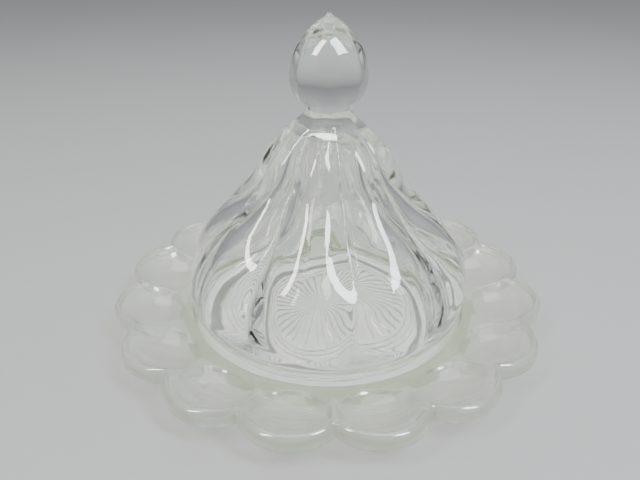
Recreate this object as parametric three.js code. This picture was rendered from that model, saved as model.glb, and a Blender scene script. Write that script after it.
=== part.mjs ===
// Covered butter dish in pressed glass: a scalloped underplate and a fluted bell cover
// that lifts straight off by its knob. Millimetres, +Z up, origin on the table under the
// centre of the plate. Azimuth runs from the front (-Y) towards +X.
import * as THREE from 'three';

// ---- Underplate ----
const petalCount = 16;
const plateRadius = 100;        // centre to petal tip
const notchDepth = 8.3;         // how far each notch cuts in from the petal tips
const plateWall = 4;            // glass under the petal hollows
const ridgeRise = 4.2;          // ridges and bead above the floor of a hollow
const petalLift = 9;            // underside of the petal tips above the table
const petalSweep = 1.5;         // power of the underside's upward curve
const beadWidth = 6.5;          // rolled bead around each petal
const beadEdge = 2.6;           // rounding of the bead's outer edge
const archDepth = 7;            // how much later a hollow starts at its sides than on its middle
const hollowStart = 3.5;        // ledge between the seat's cove and a hollow
const hollowFill = 0.7;         // power of a hollow's section: 1 is a plain arch, less is fuller
const hollowSides = 3;          // power of its sides: more keeps the floor level further out
const footRadius = 50;
const footWidth = 5;
const footHeight = 1.4;         // centre of the underside above the table
const centreWall = 3.6;         // glass under the butter

// ---- Cover ----
const fluteCount = 8;
const coverTurn = 10;           // degrees from the front notch to the first groove
const bellHeight = 94.5;         // rim to collar; heights of the cover are above its own rim
const rimRadius = 60;           // outside of the rim that stands on the plate
const rimWall = 4.4;            // width of the flat rim
const rimRound = 1.2;
// crest line of a flute, from the rim up: outside radius, and the wall there measured level
const bellySwell = 5;           // how far the belly stands out beyond the rim
const bellyWall = 2.8;
const bellyHeight = 10.5;
const skirtDraw = 2.4;          // how far the skirt draws in from the belly
const skirtWall = 5.2;
const skirtHeight = 31.5;
const flankRadius = 47.3;
const flankWall = 11;
const flankDrop = 43.8;         // the upper places are measured down from the collar
const waistRadius = 34.8;
const waistWall = 10;
const waistDrop = 29.8;
const domeRadius = 25;
const domeWall = 8;
const domeDrop = 14.5;
const collarRadius = 8.9;
const crownRise = 5.5;          // top of the hollow above the dome
const crownShoulder = 8.5;      // radius where the crown turns over
const crownRound = 0.9;         // height of that turn, as part of the crown's rise
// the groove between two flutes and the rib inside behind it: their depths at each place
const skirtGroove = 1.5;
const flankGroove = 7.8;
const waistGroove = 5.7;
const domeGroove = 3.9;
const ribFoot = 3;              // height above the belly over which a rib swells up
const footRib = 7;
const flankRib = 8.2;
const waistRib = 6.2;
const domeRib = 3;

// ---- Knob, pressed in one piece with the cover ----
const knobSides = 8;
const knobTurn = -11.25;        // degrees from a groove to a crease of the knob
const knobRadius = 16.05;       // to the creases
const knobHeight = 37.5;
const knobWaist = 13.2;         // height of the widest place above the collar
const knobFlat = 0.05;          // how far the sides are flattened, as a share of the radius
const knobStep = 0.8;           // fillet between collar and knob
const knobFlare = 12.3;         // radius towards which the knob flares from the collar
const knobFlareRise = 2;        // and its height there
const knobFullness = 7.1;       // how far below the widest place its side stands upright
const knobShoulder = 8.1;       // and how far above it
const knobTaper = 11;           // radius towards which the side bends before the tip
const knobTaperDrop = 5.6;      // and how far below the tip
const nubRadius = 1.4;
const nubHeight = 1.2;

// ---- Fits ----
const seatClearance = 2.5;      // between the rim and the cove around its seat
const coveRadius = 3.2;         // the cove that rises from the seat to the petals
const restGap = 0.3;            // kept between the rim and the seat

// ---- Fineness: facets per repeat, and where the rings of each profile lie along it ----
const petalSteps = 8;
const fluteSteps = 8;
const undersideShares = [0, 0.3, 0.55, 0.8];
const beadAngles = [0, 40, 90];
const petalShares = [0.84, 0.78, 0.7, 0.58, 0.45, 0.32, 0.22, 0.14, 0.07, 0];
const coveAngles = [60, 30, 0];
const hollowShares = [
  0.93, 0.857, 0.79, 0.714, 0.64, 0.571, 0.5, 0.43, 0.39, 0.34, 0.286, 0.22, 0.17, 0.155, 0.143,
  0.09, 0.04, 0,
];
const crestShares = [
  0, 0.08, 0.17, 0.25, 0.33, 0.39, 0.45, 0.52, 0.6, 0.68, 0.76, 0.83, 0.9, 0.96, 1,
];
const knobLowerShares = [0, 0.25, 0.5, 0.75];
const knobUpperShares = [0, 0.2, 0.4, 0.6, 0.8, 1];

const turn = Math.PI * 2;
const degree = turn / 360;

const seatTop = footHeight + centreWall;
const seatRadius = rimRadius + seatClearance;
const rimBase = seatTop + restGap;
const bellyRadius = rimRadius + bellySwell;
const skirtRadius = bellyRadius - skirtDraw;
const flankHeight = bellHeight - flankDrop;
const waistHeight = bellHeight - waistDrop;
const domeHeight = bellHeight - domeDrop;
const crownTop = domeHeight + crownRise;
const knobTop = bellHeight + knobHeight;
const widest = bellHeight + knobWaist;

const plateGlass = new THREE.MeshStandardMaterial({
  color: 0xc9cdc4, roughness: 0.28, metalness: 0, transparent: true, opacity: 0.55,
});
const coverGlass = new THREE.MeshStandardMaterial({
  color: 0xd9ddd6, roughness: 0.06, metalness: 0, transparent: true, opacity: 0.35,
});

function smooth(low, high, x) {
  const t = Math.min(Math.max((x - low) / (high - low), 0), 1);
  return t * t * (3 - 2 * t);
}

// Distance from the middle of a repeat, 0 in its middle and 1 at its borders.
function repeatOffset(azimuth, count) {
  const phase = azimuth * count / turn;
  return Math.abs(2 * (phase - Math.floor(phase)) - 1);
}

// A closed body turned about +Z: each profile point says where it lies at every azimuth.
function turnedBody(profile, steps) {
  const line = profile.map((place, j) => new THREE.Vector2(1 + j, j));
  const geometry = new THREE.LatheGeometry(line, steps);
  const position = geometry.attributes.position;
  for (let i = 0; i <= steps; i += 1) {
    const azimuth = (i % steps) * turn / steps;
    profile.forEach((place, j) => {
      const [radius, height] = place(azimuth);
      const x = radius * Math.sin(azimuth);
      const y = -radius * Math.cos(azimuth);
      position.setXYZ(i * profile.length + j, x, y, height);
    });
  }
  geometry.computeVertexNormals();
  return geometry;
}

// ---- Underplate ----

// Each petal's edge is one arc from notch to notch through the tip.
function petalEdge(azimuth) {
  const pitch = turn / petalCount;
  const notchRadius = plateRadius - notchDepth;
  const notchAlong = notchRadius * Math.cos(pitch / 2);
  const notchAcross = notchRadius * Math.sin(pitch / 2);
  const squares = plateRadius ** 2 - notchAlong ** 2 - notchAcross ** 2;
  const arcCentre = squares / (2 * (plateRadius - notchAlong));
  const arcRadius = plateRadius - arcCentre;
  const fromMiddle = repeatOffset(azimuth, petalCount) * pitch / 2;
  const along = arcCentre * Math.cos(fromMiddle);
  const across = arcCentre * Math.sin(fromMiddle);
  return along + Math.sqrt(arcRadius ** 2 - across ** 2);
}

function petalRadius(azimuth, share) {
  const inner = seatRadius + coveRadius;
  return inner + (petalEdge(azimuth) - inner) * share;
}

function undersideHeight(share) {
  return footHeight / 2 + (petalLift - footHeight / 2) * share ** petalSweep;
}

// The hollow of a petal: 1 on its floor, 0 on the ridges, the bead and the inner ledge.
function hollow(azimuth, share) {
  const span = petalEdge(azimuth) - seatRadius - coveRadius;
  const aside = repeatOffset(azimuth, petalCount);
  const start = (hollowStart + archDepth * aside ** 2) / span;
  const end = 1 - beadWidth / span;
  if (share <= start || share >= end) {
    return 0;
  }
  const along = Math.sin(Math.PI * (share - start) / (end - start));
  return along ** hollowFill * (1 - aside ** hollowSides);
}

function petalTop(azimuth, share) {
  const floor = undersideHeight(share) + plateWall;
  return floor + ridgeRise * (1 - hollow(azimuth, share));
}

function underplate() {
  const profile = [];
  profile.push(() => [0, footHeight]);
  profile.push(() => [footRadius - footWidth - footHeight, footHeight]);
  profile.push(() => [footRadius - footWidth, 0]);
  profile.push(() => [footRadius, 0]);
  profile.push(() => [footRadius + footHeight, footHeight / 2]);
  for (const share of undersideShares) {
    profile.push((a) => [petalRadius(a, share), undersideHeight(share)]);
  }
  // the bead's outer edge, rounded from the underside up to its top
  const rimTop = petalLift + plateWall + ridgeRise;
  profile.push((a) => [petalEdge(a) - beadEdge, petalLift]);
  profile.push((a) => [petalEdge(a), petalLift + beadEdge]);
  for (const angle of beadAngles) {
    const bend = angle * degree;
    const inward = beadEdge * (1 - Math.cos(bend));
    const height = rimTop - beadEdge * (1 - Math.sin(bend));
    profile.push((a) => [petalEdge(a) - inward, height]);
  }
  for (const share of petalShares) {
    profile.push((a) => [petalRadius(a, share), petalTop(a, share)]);
  }
  // the cove from the petals' ledge down to the seat
  const coveRise = undersideHeight(0) + plateWall + ridgeRise - seatTop;
  for (const angle of coveAngles) {
    const radius = seatRadius + coveRadius * Math.sin(angle * degree);
    const height = seatTop + coveRise * (1 - Math.cos(angle * degree));
    profile.push(() => [radius, height]);
  }
  profile.push(() => [0, seatTop]);
  return turnedBody(profile, petalCount * petalSteps);
}

// ---- Cover ----

// The depth at a height, from pairs of height and depth, level at each pair.
function depthAt(pairs, height) {
  const after = pairs.findIndex(([top]) => top > height);
  if (after === 0) {
    return pairs[0][1];
  }
  if (after < 0) {
    return pairs[pairs.length - 1][1];
  }
  const [low, lowDepth] = pairs[after - 1];
  const [high, highDepth] = pairs[after];
  return lowDepth + (highDepth - lowDepth) * smooth(low, high, height);
}

const grooves = [
  [bellyHeight, 0],
  [skirtHeight, skirtGroove],
  [flankHeight, flankGroove],
  [waistHeight, waistGroove],
  [domeHeight, domeGroove],
  [bellHeight, 0],
];
const ribs = [
  [bellyHeight, 0],
  [bellyHeight + ribFoot, footRib],
  [flankHeight, flankRib],
  [waistHeight, waistRib],
  [domeHeight, domeRib],
  [crownTop, 0],
];

// The crest line of a flute, from the rim up to the collar.
const crestLine = new THREE.SplineCurve([
  new THREE.Vector2(rimRadius, rimRound),
  new THREE.Vector2(bellyRadius, bellyHeight),
  new THREE.Vector2(skirtRadius, skirtHeight),
  new THREE.Vector2(flankRadius, flankHeight),
  new THREE.Vector2(waistRadius, waistHeight),
  new THREE.Vector2(domeRadius, domeHeight),
  new THREE.Vector2(collarRadius, bellHeight),
]);

// The same line inside, from the rim up to the crown of the hollow.
const hollowLine = new THREE.SplineCurve([
  new THREE.Vector2(rimRadius - rimWall, 0),
  new THREE.Vector2(bellyRadius - bellyWall, bellyHeight),
  new THREE.Vector2(skirtRadius - skirtWall, skirtHeight),
  new THREE.Vector2(flankRadius - flankWall, flankHeight),
  new THREE.Vector2(waistRadius - waistWall, waistHeight),
  new THREE.Vector2(domeRadius - domeWall, domeHeight),
  new THREE.Vector2(crownShoulder, domeHeight + crownRise * crownRound),
  new THREE.Vector2(0, crownTop),
]);

// The knob's side, from the collar out to its widest place and in again to the nub.
const knobLower = new THREE.CubicBezierCurve(
  new THREE.Vector2(collarRadius, bellHeight + knobStep),
  new THREE.Vector2(knobFlare, bellHeight + knobFlareRise),
  new THREE.Vector2(knobRadius, widest - knobFullness),
  new THREE.Vector2(knobRadius, widest),
);
const knobUpper = new THREE.CubicBezierCurve(
  new THREE.Vector2(knobRadius, widest),
  new THREE.Vector2(knobRadius, widest + knobShoulder),
  new THREE.Vector2(knobTaper, knobTop - knobTaperDrop),
  new THREE.Vector2(nubRadius, knobTop - nubHeight),
);

// Both the grooves outside and the ribs inside are deepest at the borders of the flutes.
function lobed(azimuth, radius, depth) {
  return radius - depth * repeatOffset(azimuth, fluteCount) ** 2;
}

function knobbed(azimuth, radius) {
  const aside = repeatOffset(azimuth - knobTurn * degree + turn, knobSides);
  return radius * (1 - knobFlat * (1 - aside ** 2));
}

function cover() {
  const profile = [];
  const wall = (point, depths) => {
    const depth = depthAt(depths, point.y);
    profile.push((a) => [lobed(a, point.x, depth), rimBase + point.y]);
  };
  const facetted = (point) => {
    profile.push((a) => [knobbed(a, point.x), rimBase + point.y]);
  };
  // inside, from the crown down to the rim
  profile.push(() => [0, rimBase + crownTop]);
  for (const share of hollowShares) {
    wall(hollowLine.getPoint(share), ribs);
  }
  // across the flat rim, then up the flutes to the collar and around the knob
  profile.push(() => [rimRadius - rimRound, rimBase]);
  for (const share of crestShares) {
    wall(crestLine.getPoint(share), grooves);
  }
  for (const share of knobLowerShares) {
    facetted(knobLower.getPoint(share));
  }
  for (const share of knobUpperShares) {
    facetted(knobUpper.getPoint(share));
  }
  profile.push(() => [nubRadius, rimBase + knobTop - nubHeight / 2]);
  profile.push(() => [0, rimBase + knobTop]);
  return turnedBody(profile, fluteCount * fluteSteps);
}

const dish = new THREE.Group();

const plateMesh = new THREE.Mesh(underplate(), plateGlass);
plateMesh.name = 'underplate';
dish.add(plateMesh);

const coverMesh = new THREE.Mesh(cover(), coverGlass);
coverMesh.name = 'cover';
coverMesh.rotation.z = coverTurn * degree;
dish.add(coverMesh);

export default dish;
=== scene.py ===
import math

import bpy
import numpy as np
from mathutils import Matrix, Vector


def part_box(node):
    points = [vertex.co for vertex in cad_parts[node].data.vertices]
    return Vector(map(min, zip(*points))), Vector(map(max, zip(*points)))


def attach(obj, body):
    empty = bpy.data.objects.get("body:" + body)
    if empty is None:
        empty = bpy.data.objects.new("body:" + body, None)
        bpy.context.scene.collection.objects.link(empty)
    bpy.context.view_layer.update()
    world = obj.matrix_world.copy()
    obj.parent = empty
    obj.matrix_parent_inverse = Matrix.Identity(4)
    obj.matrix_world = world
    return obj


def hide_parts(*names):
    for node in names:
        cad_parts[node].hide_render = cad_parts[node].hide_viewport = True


# Covered butter dish in pressed glass: a scalloped plate and a fluted bell cover.
# Shapes are worked out in millimetres and put into the frame's metres by its own boxes.

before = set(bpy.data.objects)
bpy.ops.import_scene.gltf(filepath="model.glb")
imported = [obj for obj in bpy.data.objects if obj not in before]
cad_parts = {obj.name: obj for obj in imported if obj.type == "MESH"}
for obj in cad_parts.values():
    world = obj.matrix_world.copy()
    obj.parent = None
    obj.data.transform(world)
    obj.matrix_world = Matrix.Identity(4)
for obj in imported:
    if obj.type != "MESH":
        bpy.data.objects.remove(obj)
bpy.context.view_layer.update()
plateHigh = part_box("underplate")[1]
coverLow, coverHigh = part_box("cover")
fullTurn = 2 * math.pi


def smooth(low, high, x):
    t = np.clip((np.asarray(x, float) - low) / (high - low), 0, 1)
    return t * t * (3 - 2 * t)


def repeatOffset(azimuth, count):
    # 0 in the middle of a repeat and 1 at its borders
    phase = azimuth * count / fullTurn
    return np.abs(2 * (phase - np.floor(phase)) - 1)


def quarterBend(start, end, steps):
    # cosine and sine along a rounding, from one angle in degrees to another
    angles = np.radians(np.linspace(start, end, steps))
    return zip(np.cos(angles), np.sin(angles))


def turnedSolid(name, rows, steps, unit, turn=0.0):
    # rows are (radius, height) pairs, one value or one for each azimuth; the ends lie on the axis
    azimuth = np.arange(steps) * fullTurn / steps
    bearing = azimuth + math.radians(turn)
    points = []
    starts = []
    for radius, height in rows:
        starts.append(len(points))
        if np.isscalar(radius) and radius == 0:
            points.append((0, 0, float(height) * unit))
            continue
        r = np.broadcast_to(np.asarray(radius, float), azimuth.shape) * unit
        z = np.broadcast_to(np.asarray(height, float), azimuth.shape) * unit
        points.extend(zip(r * np.sin(bearing), -r * np.cos(bearing), z))
    faces = []
    last = len(rows) - 1
    for k in range(last):
        a, b = starts[k], starts[k + 1]
        for i in range(steps):
            j = (i + 1) % steps
            if k == 0:
                faces.append((a, b + j, b + i))
            elif k == last - 1:
                faces.append((a + i, a + j, b))
            else:
                faces.append((a + i, a + j, b + j, b + i))
    mesh = bpy.data.meshes.new(name)
    mesh.from_pydata([tuple(map(float, p)) for p in points], [], faces)
    mesh.update()
    mesh.polygons.foreach_set("use_smooth", [True] * len(mesh.polygons))
    piece = bpy.data.objects.new(name, mesh)
    bpy.context.scene.collection.objects.link(piece)
    return piece


def curveThrough(points, shares):
    # the smooth curve through the points that the frame's own cover follows
    pts = np.array(points, float)
    count = len(pts) - 1
    out = []
    for share in shares:
        place = count * share
        k = min(int(place), count)
        w = place - k
        p0 = pts[k if k == 0 else k - 1]
        p1 = pts[k]
        p2 = pts[min(k + 1, count)]
        p3 = pts[min(k + 2, count)]
        v0 = (p2 - p0) * 0.5
        v1 = (p3 - p1) * 0.5
        bend = 2 * p1 - 2 * p2 + v0 + v1
        sway = -3 * p1 + 3 * p2 - 2 * v0 - v1
        out.append(bend * w ** 3 + sway * w ** 2 + v0 * w + p1)
    return np.array(out)


def bezier(p0, p1, p2, p3, shares):
    t = np.asarray(shares, float)[:, None]
    a, b, c, d = (np.array(p, float) for p in (p0, p1, p2, p3))
    return a * (1 - t) ** 3 + 3 * b * t * (1 - t) ** 2 + 3 * c * t * t * (1 - t) + d * t ** 3


# the seat of the plate is worked out from the rim of the cover that stands in it
coverShape = {
    "flutes": 8,
    "turn": 10.0,  # degrees from the front notch to the first groove
    "rimRadius": 60.0,
    "rimWall": 4.4,
    "rimRound": 1.2,
    "rimBevel": (0.15, 0.12),  # inside edge of the rim: in and up
    "rimFlat": 0.5,
    # crest line of a flute outside, as radius and height above the rim
    "crest": [
        (60.0, 1.2), (65.0, 10.5), (62.6, 31.5), (47.3, 50.7),
        (34.8, 64.7), (25.0, 80.0), (8.9, 94.5),
    ],
    # the same line inside, from the rim up to the crown
    "hollow": [
        (55.6, 0.6), (62.2, 10.5), (57.4, 31.5), (36.3, 50.7),
        (24.8, 64.7), (17.0, 80.0), (8.5, 84.95), (0.0, 85.5),
    ],
    # depth of the grooves outside and of the ribs inside, by height above the rim
    "grooves": [(10.5, 0), (31.5, 1.5), (50.7, 7.8), (64.7, 5.7), (80, 3.9), (94.5, 0)],
    "ribs": [(10.5, 0), (13.5, 7.0), (50.7, 8.2), (64.7, 6.2), (80, 3.0), (85.5, 0)],
    # 2 rounds a flute or a rib like an arc, and more makes its border sharper
    "fluteRound": 2.0,
    "ribRound": 2.0,
    "tipRound": 0.07,  # rounding at the foot of a groove, as a share of half a flute
    "crownPoint": 0.01,  # below this radius the crown closes on the axis
    "crestRows": 72,
    "hollowRows": 100,
    "steps": 384,
}

plateShape = {
    "petals": 16,
    "radius": 99.98,  # a hair under 100, so the finer mesh stays inside the frame's box
    "notchDepth": 8.3,
    "wall": 4.0,
    "ridgeRise": 4.2,
    "petalLift": 9.0,
    "petalSweep": 1.5,
    "beadWidth": 6.5,
    "beadEdge": 2.6,
    "beadShare": 0.9,  # where the bead's top meets the petal, from the cove out to the edge
    "archDepth": 7.0,
    "hollowStart": 3.5,
    "hollowFull": 0.7,  # below 1 gives the thumbprint a flatter bottom
    "undersideShare": 0.86,  # where the underside meets the bead
    "footRadius": 50.0,
    "footWidth": 5.0,
    "footHeight": 1.4,
    "footRound": 0.3,
    "footInside": (0.25, 0.2),  # rounding inside the foot: in and up
    "footOutside": 0.12,
    "centreWall": 3.6,
    "seatClearance": 2.5,
    "coveRadius": 3.2,
    # places of the mesh's rows: in from the seat's edge, then by radius
    "seatInsets": (0.6, 6),
    "seatRows": (45, 30, 15, 5),
    "petalRows": 44,
    "undersideRows": 12,
    "edgeRows": (7, 9),  # under and over the bead
    "coveRows": 9,
    "coveTop": 80,  # degrees of the cove's bend at its highest row
    "steps": 480,
}

# star of rays and rings pressed into the underside
starShape = {
    "rays": 40,
    "radius": 34.5,
    "slope": 0.030,  # depth of a ray for each millimetre from the centre
    "tip": 2.6,  # how much shorter a ray is at its sides
    "tipFade": 1.2,  # length in which the end of a ray runs out
    "rings": (36.5, 39.4, 42.3),
    "ringDepth": 0.5,
    "ringWidth": 0.7,
    "ringRows": (-1, -0.5, 0, 0.5, 1),  # across a ring, from side to side
    # where rows of the mesh lie along a ray, closer together towards its end
    "rowShares": (
        0.02, 0.06, 0.12, 0.2, 0.32, 0.45, 0.6, 0.75, 0.85,
        0.89, 0.92, 0.94, 0.96, 0.975, 0.985, 0.995, 1.0, 1.01,
    ),
}

plateMm = plateHigh.z / (plateShape["petalLift"] + plateShape["wall"] + plateShape["ridgeRise"])
coveEdge = coverShape["rimRadius"] + plateShape["seatClearance"] + plateShape["coveRadius"]


def petalEdge(azimuth):
    # outline of the plate: one arc for each petal, meeting in notches
    s = plateShape
    pitch = fullTurn / s["petals"]
    notchRadius = s["radius"] - s["notchDepth"]
    along = notchRadius * math.cos(pitch / 2)
    across = notchRadius * math.sin(pitch / 2)
    arcCentre = (s["radius"] ** 2 - along ** 2 - across ** 2) / (2 * (s["radius"] - along))
    arcRadius = s["radius"] - arcCentre
    fromMiddle = repeatOffset(azimuth, s["petals"]) * pitch / 2
    return arcCentre * np.cos(fromMiddle) + np.sqrt(
        arcRadius ** 2 - (arcCentre * np.sin(fromMiddle)) ** 2
    )


def undersideHeight(share):
    s = plateShape
    start = s["footHeight"] / 2
    return start + (s["petalLift"] - start) * share ** s["petalSweep"]


def thumbHollow(azimuth, share):
    # 1 at the bottom of a petal's thumbprint and 0 on the ridges and the bead
    s = plateShape
    span = petalEdge(azimuth) - coveEdge
    aside = repeatOffset(azimuth, s["petals"])
    start = (s["hollowStart"] + s["archDepth"] * aside ** 2) / span
    end = 1 - s["beadWidth"] / span
    along = np.sin(math.pi * np.clip((share - start) / (end - start), 0, 1))
    return np.abs(along) ** s["hollowFull"] * (1 - aside ** 3)


def starRows(azimuth):
    star = starShape
    level = plateShape["footHeight"]
    ray = repeatOffset(azimuth, star["rays"])
    rows = []
    for share in star["rowShares"]:
        radius = star["radius"] * share
        tipRadius = star["radius"] - star["tip"] * ray ** 2
        runOut = smooth(0, 1, (tipRadius - radius) / star["tipFade"])
        rows.append((radius, level + star["slope"] * radius * (1 - ray) * runOut))
    for ring in star["rings"]:
        for across in star["ringRows"]:
            depth = star["ringDepth"] * (1 - across ** 2)
            rows.append((ring + across * star["ringWidth"], level + depth))
    return rows


def footRows():
    s = plateShape
    footInner = s["footRadius"] - s["footWidth"]
    return [
        (footInner - s["footHeight"], s["footHeight"]),
        (footInner - s["footInside"][0], s["footInside"][1]),
        (footInner, 0.0),
        (footInner + s["footRound"], 0.0),
        (s["footRadius"] - s["footRound"], 0.0),
        (s["footRadius"], 0.0),
        (s["footRadius"] + s["footRound"], s["footOutside"]),
        (s["footRadius"] + s["footHeight"], s["footHeight"] / 2),
    ]


def makePlate():
    s = plateShape
    azimuth = np.arange(s["steps"]) * fullTurn / s["steps"]
    edge = petalEdge(azimuth)
    rimTop = s["petalLift"] + s["wall"] + s["ridgeRise"]
    seatTop = s["footHeight"] + s["centreWall"]
    ledgeTop = undersideHeight(0) + s["wall"] + s["ridgeRise"]
    rows = [(0, s["footHeight"])] + starRows(azimuth) + footRows()
    for share in np.linspace(0, s["undersideShare"], s["undersideRows"]):
        rows.append((coveEdge + (edge - coveEdge) * share, undersideHeight(share)))
    # rounded edge of the bead, under and over
    e = s["beadEdge"]
    for out, up in quarterBend(-90, 0, s["edgeRows"][0]):
        rows.append((edge - e + e * out, s["petalLift"] + e + e * up))
    for out, up in quarterBend(0, 90, s["edgeRows"][1]):
        rows.append((edge - e + e * out, rimTop - e + e * up))
    # petals, from the bead in to the ledge
    for share in np.linspace(s["beadShare"], 0, s["petalRows"]):
        bottom = undersideHeight(share) + s["wall"]
        rise = s["ridgeRise"] * (1 - thumbHollow(azimuth, share))
        rows.append((coveEdge + (edge - coveEdge) * share, bottom + rise))
    # cove down to the seat, and the flat seat
    seatRadius = coveEdge - s["coveRadius"]
    for down, out in quarterBend(s["coveTop"], 0, s["coveRows"]):
        height = seatTop + (ledgeTop - seatTop) * (1 - down)
        rows.append((seatRadius + s["coveRadius"] * out, height))
    for inset in s["seatInsets"]:
        rows.append((seatRadius - inset, seatTop))
    for radius in s["seatRows"]:
        rows.append((radius, seatTop))
    rows.append((0, seatTop))
    return turnedSolid("pressed_plate", rows, s["steps"], plateMm)


# pressed in one piece with the bell
knobShape = {
    "sides": 8,
    "turn": -11.25,  # degrees from a groove to a crease of the knob
    "radius": 16.05,  # to the creases
    "height": 37.5,
    "waist": 13.2,  # height of the widest part above the collar
    "flat": 0.05,  # how far the sides are flattened, as a share of the radius
    "step": 0.8,
    "flare": 12.3,
    "flareRise": 2.0,
    "fullness": 7.1,  # how far below its widest part the side stands upright
    "shoulder": 8.1,  # and how far above it
    "taper": 11.0,
    "taperDrop": 5.6,
    "nubRadius": 1.4,
    "nubHeight": 1.2,
    "lowerRows": 18,
    "upperRows": 26,
    "nubBend": (25, 72, 3),  # degrees of the first and last row, and their number
}

coverMm = (coverHigh.z - coverLow.z) / (coverShape["crest"][-1][1] + knobShape["height"])


def eased(table, height):
    # value between the rows of a table, level at each row
    heights, values = np.array(table, float).T
    k = np.clip(np.searchsorted(heights, height) - 1, 0, len(heights) - 2)
    share = smooth(heights[k], heights[k + 1], height)
    return values[k] + (values[k + 1] - values[k]) * share


def knobRows(base):
    k = knobShape
    azimuth = np.arange(coverShape["steps"]) * fullTurn / coverShape["steps"]
    aside = repeatOffset(azimuth - math.radians(k["turn"]) + fullTurn, k["sides"])
    collarRadius, collarHeight = coverShape["crest"][-1]
    middle = collarHeight + k["waist"]
    top = collarHeight + k["height"]
    lower = bezier(
        (collarRadius, collarHeight + k["step"]), (k["flare"], collarHeight + k["flareRise"]),
        (k["radius"], middle - k["fullness"]), (k["radius"], middle),
        np.linspace(0, 1, k["lowerRows"]),
    )
    upper = bezier(
        (k["radius"], middle), (k["radius"], middle + k["shoulder"]),
        (k["taper"], top - k["taperDrop"]), (k["nubRadius"], top - k["nubHeight"]),
        np.linspace(0, 1, k["upperRows"]),
    )
    rows = []
    for radius, height in np.vstack([lower, upper[1:]]):
        rows.append((radius * (1 - k["flat"] * (1 - aside ** 2)), base + height))
    for out, up in quarterBend(*k["nubBend"]):
        rows.append((k["nubRadius"] * out, base + top - k["nubHeight"] * (1 - up)))
    rows.append((0, base + top))
    return rows


def makeCover():
    s = coverShape
    azimuth = np.arange(s["steps"]) * fullTurn / s["steps"]
    # grooves and ribs end in a small rounding instead of a knife edge
    toBorder = 1 - repeatOffset(azimuth, s["flutes"])
    aside = 1 - np.sqrt(toBorder ** 2 + s["tipRound"] ** 2) + s["tipRound"]
    base = coverLow.z / coverMm
    # inside, from the crown down to the rim
    rows = []
    for radius, height in curveThrough(s["hollow"], np.linspace(1, 0, s["hollowRows"])):
        across = radius - eased(s["ribs"], height) * aside ** s["ribRound"]
        rows.append((across if radius > s["crownPoint"] else 0, base + height))
    rimInner = s["rimRadius"] - s["rimWall"]
    rows.append((rimInner + s["rimBevel"][0], base + s["rimBevel"][1]))
    rows.append((rimInner + s["rimFlat"], base))
    rows.append((s["rimRadius"] - s["rimRound"], base))
    for out, up in quarterBend(-60, -30, 2):
        rows.append((s["rimRadius"] - s["rimRound"] * (1 - out), base + s["rimRound"] * (1 + up)))
    # outside, from the rim up to the collar
    for radius, height in curveThrough(s["crest"], np.linspace(0, 1, s["crestRows"])):
        across = radius - eased(s["grooves"], height) * aside ** s["fluteRound"]
        rows.append((across, base + height))
    rows += knobRows(base)
    return turnedSolid("bell_cover", rows, s["steps"], coverMm, s["turn"])


def newNodes(name):
    material = bpy.data.materials.new(name)
    material.use_nodes = True
    tree = material.node_tree
    tree.nodes.clear()
    return material, tree


def pressedGlass(name, look):
    material, tree = newNodes(name)
    add = tree.nodes.new
    link = tree.links.new
    out = add("ShaderNodeOutputMaterial")
    glass = add("ShaderNodeBsdfPrincipled")
    glass.inputs["Base Color"].default_value = (*look["tint"], 1)
    glass.inputs["IOR"].default_value = look["bend"]
    glass.inputs["Transmission Weight"].default_value = look["transmission"]
    glass.inputs["Coat Weight"].default_value = look["coat"]
    place = add("ShaderNodeTexCoord")
    # slow waves left by the mould
    wave = add("ShaderNodeTexNoise")
    wave.inputs["Scale"].default_value = look["waveScale"]
    wave.inputs["Detail"].default_value = look["waveDetail"]
    link(place.outputs["Object"], wave.inputs["Vector"])
    bump = add("ShaderNodeBump")
    bump.inputs["Strength"].default_value = look["waveStrength"]
    bump.inputs["Distance"].default_value = look["waveHeight"]
    link(wave.outputs["Fac"], bump.inputs["Height"])
    link(bump.outputs["Normal"], glass.inputs["Normal"])
    # the skin is a little duller in patches
    patch = add("ShaderNodeTexNoise")
    patch.inputs["Scale"].default_value = look["patchScale"]
    patch.inputs["Detail"].default_value = look["patchDetail"]
    link(place.outputs["Object"], patch.inputs["Vector"])
    skin = add("ShaderNodeMapRange")
    skin.inputs["From Min"].default_value, skin.inputs["From Max"].default_value = look["patchSpan"]
    skin.inputs["To Min"].default_value, skin.inputs["To Max"].default_value = look["roughness"]
    link(patch.outputs["Fac"], skin.inputs["Value"])
    link(skin.outputs["Result"], glass.inputs["Roughness"])
    # lamps shine through instead of leaving a solid shadow
    clear = add("ShaderNodeBsdfTransparent")
    clear.inputs["Color"].default_value = (*look["shadowTint"], 1)
    path = add("ShaderNodeLightPath")
    mix = add("ShaderNodeMixShader")
    link(path.outputs["Is Shadow Ray"], mix.inputs["Fac"])
    link(glass.outputs["BSDF"], mix.inputs[1])
    link(clear.outputs["BSDF"], mix.inputs[2])
    body = add("ShaderNodeVolumeAbsorption")
    body.inputs["Color"].default_value = (*look["bodyTint"], 1)
    body.inputs["Density"].default_value = look["bodyDensity"]
    link(mix.outputs["Shader"], out.inputs["Surface"])
    link(body.outputs["Volume"], out.inputs["Volume"])
    return material


coverLook = {
    "tint": (0.98, 0.985, 0.97),
    "roughness": (0.008, 0.022),  # at the clearest and at the dullest patches
    "patchScale": 90.0,
    "patchDetail": 5.0,
    "patchSpan": (0.35, 0.65),  # noise values at which a patch is clearest and dullest
    "bend": 1.5,  # refraction of soda-lime glass
    "transmission": 1.0,
    "coat": 0.0,
    "waveScale": 60.0,
    "waveDetail": 3.0,
    "waveStrength": 0.12,
    "waveHeight": 0.001,  # metres
    "shadowTint": (0.93, 0.935, 0.92),
    "bodyTint": (0.86, 0.89, 0.80),
    "bodyDensity": 5.0,
}

plateLook = dict(coverLook, roughness=(0.03, 0.05))
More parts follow.
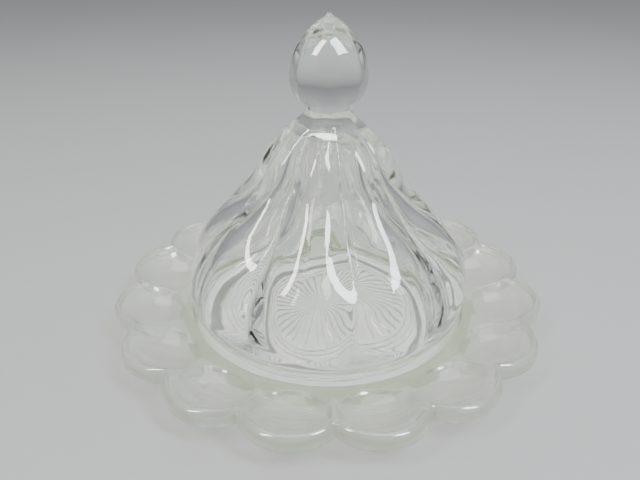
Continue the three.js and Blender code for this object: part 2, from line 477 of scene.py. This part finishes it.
# the petals have a fine satin skin under a fire-polished surface
satinLook = dict(
    coverLook, tint=(0.74, 0.75, 0.70), roughness=(0.14, 0.26), transmission=0.86, coat=1.0,
    shadowTint=(0.66, 0.66, 0.63),
)

print("plate: petals, seat, foot and star")
plate = makePlate()
plate.data.materials.append(pressedGlass("plate glass", plateLook))
plate.data.materials.append(pressedGlass("satin glass", satinLook))
for face in plate.data.polygons:
    middle = face.center
    outside = middle.xy.length > coveEdge * plateMm
    if outside and middle.z > plateShape["footHeight"] * plateMm:
        face.material_index = 1
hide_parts("underplate")
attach(plate, "underplate")

print("cover: bell, flutes and knob")
cover = makeCover()
cover.data.materials.append(pressedGlass("cover glass", coverLook))
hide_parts("cover")
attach(cover, "cover")

floorLook = {"colour": (0.35, 0.35, 0.345), "roughness": 0.7, "size": 8.0}


def makeFloor():
    half = floorLook["size"] / 2
    corners = [(-half, -half, 0), (half, -half, 0), (half, half, 0), (-half, half, 0)]
    mesh = bpy.data.meshes.new("floor")
    mesh.from_pydata(corners, [], [(0, 1, 2, 3)])
    floor = bpy.data.objects.new("floor", mesh)
    bpy.context.scene.collection.objects.link(floor)
    material, tree = newNodes("floor paint")
    out = tree.nodes.new("ShaderNodeOutputMaterial")
    paint = tree.nodes.new("ShaderNodeBsdfPrincipled")
    paint.inputs["Base Color"].default_value = (*floorLook["colour"], 1)
    paint.inputs["Roughness"].default_value = floorLook["roughness"]
    tree.links.new(paint.outputs["BSDF"], out.inputs["Surface"])
    mesh.materials.append(material)


lampAim = 0.4  # share of the cover's height that the lamps point at
lamps = [
    # name, azimuth from the front, elevation, distance, width, height, watts, colour
    ("left window", -54, 48, 1.0, 0.10, 0.42, 7.0, (1.0, 0.93, 0.84)),
    ("right window", 52, 50, 1.0, 0.20, 0.42, 12.0, (0.84, 0.92, 1.0)),
    ("top", 180, 78, 1.2, 0.9, 0.9, 6.0, (1.0, 1.0, 1.0)),
]


def makeLamps():
    aim = Vector((0, 0, coverHigh.z * lampAim))
    for name, azimuth, elevation, distance, width, height, watts, colour in lamps:
        data = bpy.data.lights.new(name, "AREA")
        data.shape = "RECTANGLE"
        data.size, data.size_y = width, height
        data.energy = watts
        data.color = colour
        a, e = math.radians(azimuth), math.radians(elevation)
        away = Vector((math.sin(a) * math.cos(e), -math.cos(a) * math.cos(e), math.sin(e)))
        lamp = bpy.data.objects.new(name, data)
        lamp.location = aim + away * distance
        lamp.rotation_euler = away.to_track_quat("Z", "Y").to_euler()
        bpy.context.scene.collection.objects.link(lamp)


room = {
    "colour": (0.93, 0.95, 1.0),
    "horizon": 0.30,  # brightness level with the floor
    "overhead": 0.75,
    "overheadFrom": 0.8,  # height of a direction from which the room is fully bright
    # enough bounces for light that runs round inside thick glass
    "bounces": 24,
    "innerReflections": 16,
}


def makeRoom():
    # brighter overhead than at the horizon, which draws the edges of the glass
    world = bpy.data.worlds.new("studio")
    world.use_nodes = True
    tree = world.node_tree
    sky = tree.nodes["Background"]
    sky.inputs["Color"].default_value = (*room["colour"], 1)
    place = tree.nodes.new("ShaderNodeTexCoord")
    parts = tree.nodes.new("ShaderNodeSeparateXYZ")
    climb = tree.nodes.new("ShaderNodeMapRange")
    climb.inputs["From Min"].default_value = 0.0
    climb.inputs["From Max"].default_value = room["overheadFrom"]
    climb.inputs["To Min"].default_value = room["horizon"]
    climb.inputs["To Max"].default_value = room["overhead"]
    tree.links.new(place.outputs["Generated"], parts.inputs["Vector"])
    tree.links.new(parts.outputs["Z"], climb.inputs["Value"])
    tree.links.new(climb.outputs["Result"], sky.inputs["Strength"])
    bpy.context.scene.world = world
    paths = bpy.context.scene.cycles
    paths.max_bounces = room["bounces"]
    paths.transmission_bounces = room["bounces"]
    paths.glossy_bounces = room["innerReflections"]


cameraView = {
    "pitch": 28.7,  # degrees below level
    "turn": -1.1,  # degrees round from the front notch
    "distance": 0.328,  # to the aimed point on the table
    "aimAside": -0.0036,
    "aimBehind": 0.0695,
    "lens": 29.6,
    "sensor": 36.0,
    "nearest": 0.01,
}


def makeCamera():
    v = cameraView
    turn = Matrix.Rotation(math.radians(v["turn"]), 4, "Z")
    pitch = math.radians(v["pitch"])
    aim = Vector((v["aimAside"], v["aimBehind"], 0))
    place = aim - v["distance"] * Vector((0, math.cos(pitch), -math.sin(pitch)))
    data = bpy.data.cameras.new("camera")
    data.lens = v["lens"]
    data.sensor_width = v["sensor"]
    data.clip_start = v["nearest"]
    camera = bpy.data.objects.new("camera", data)
    bpy.context.scene.collection.objects.link(camera)
    tilt = Matrix.Rotation(math.pi / 2 - pitch, 4, "X")
    camera.matrix_world = turn @ Matrix.Translation(place) @ tilt
    bpy.context.scene.camera = camera


print("studio: floor, lamps, room and camera")
makeFloor()
makeLamps()
makeRoom()
makeCamera()
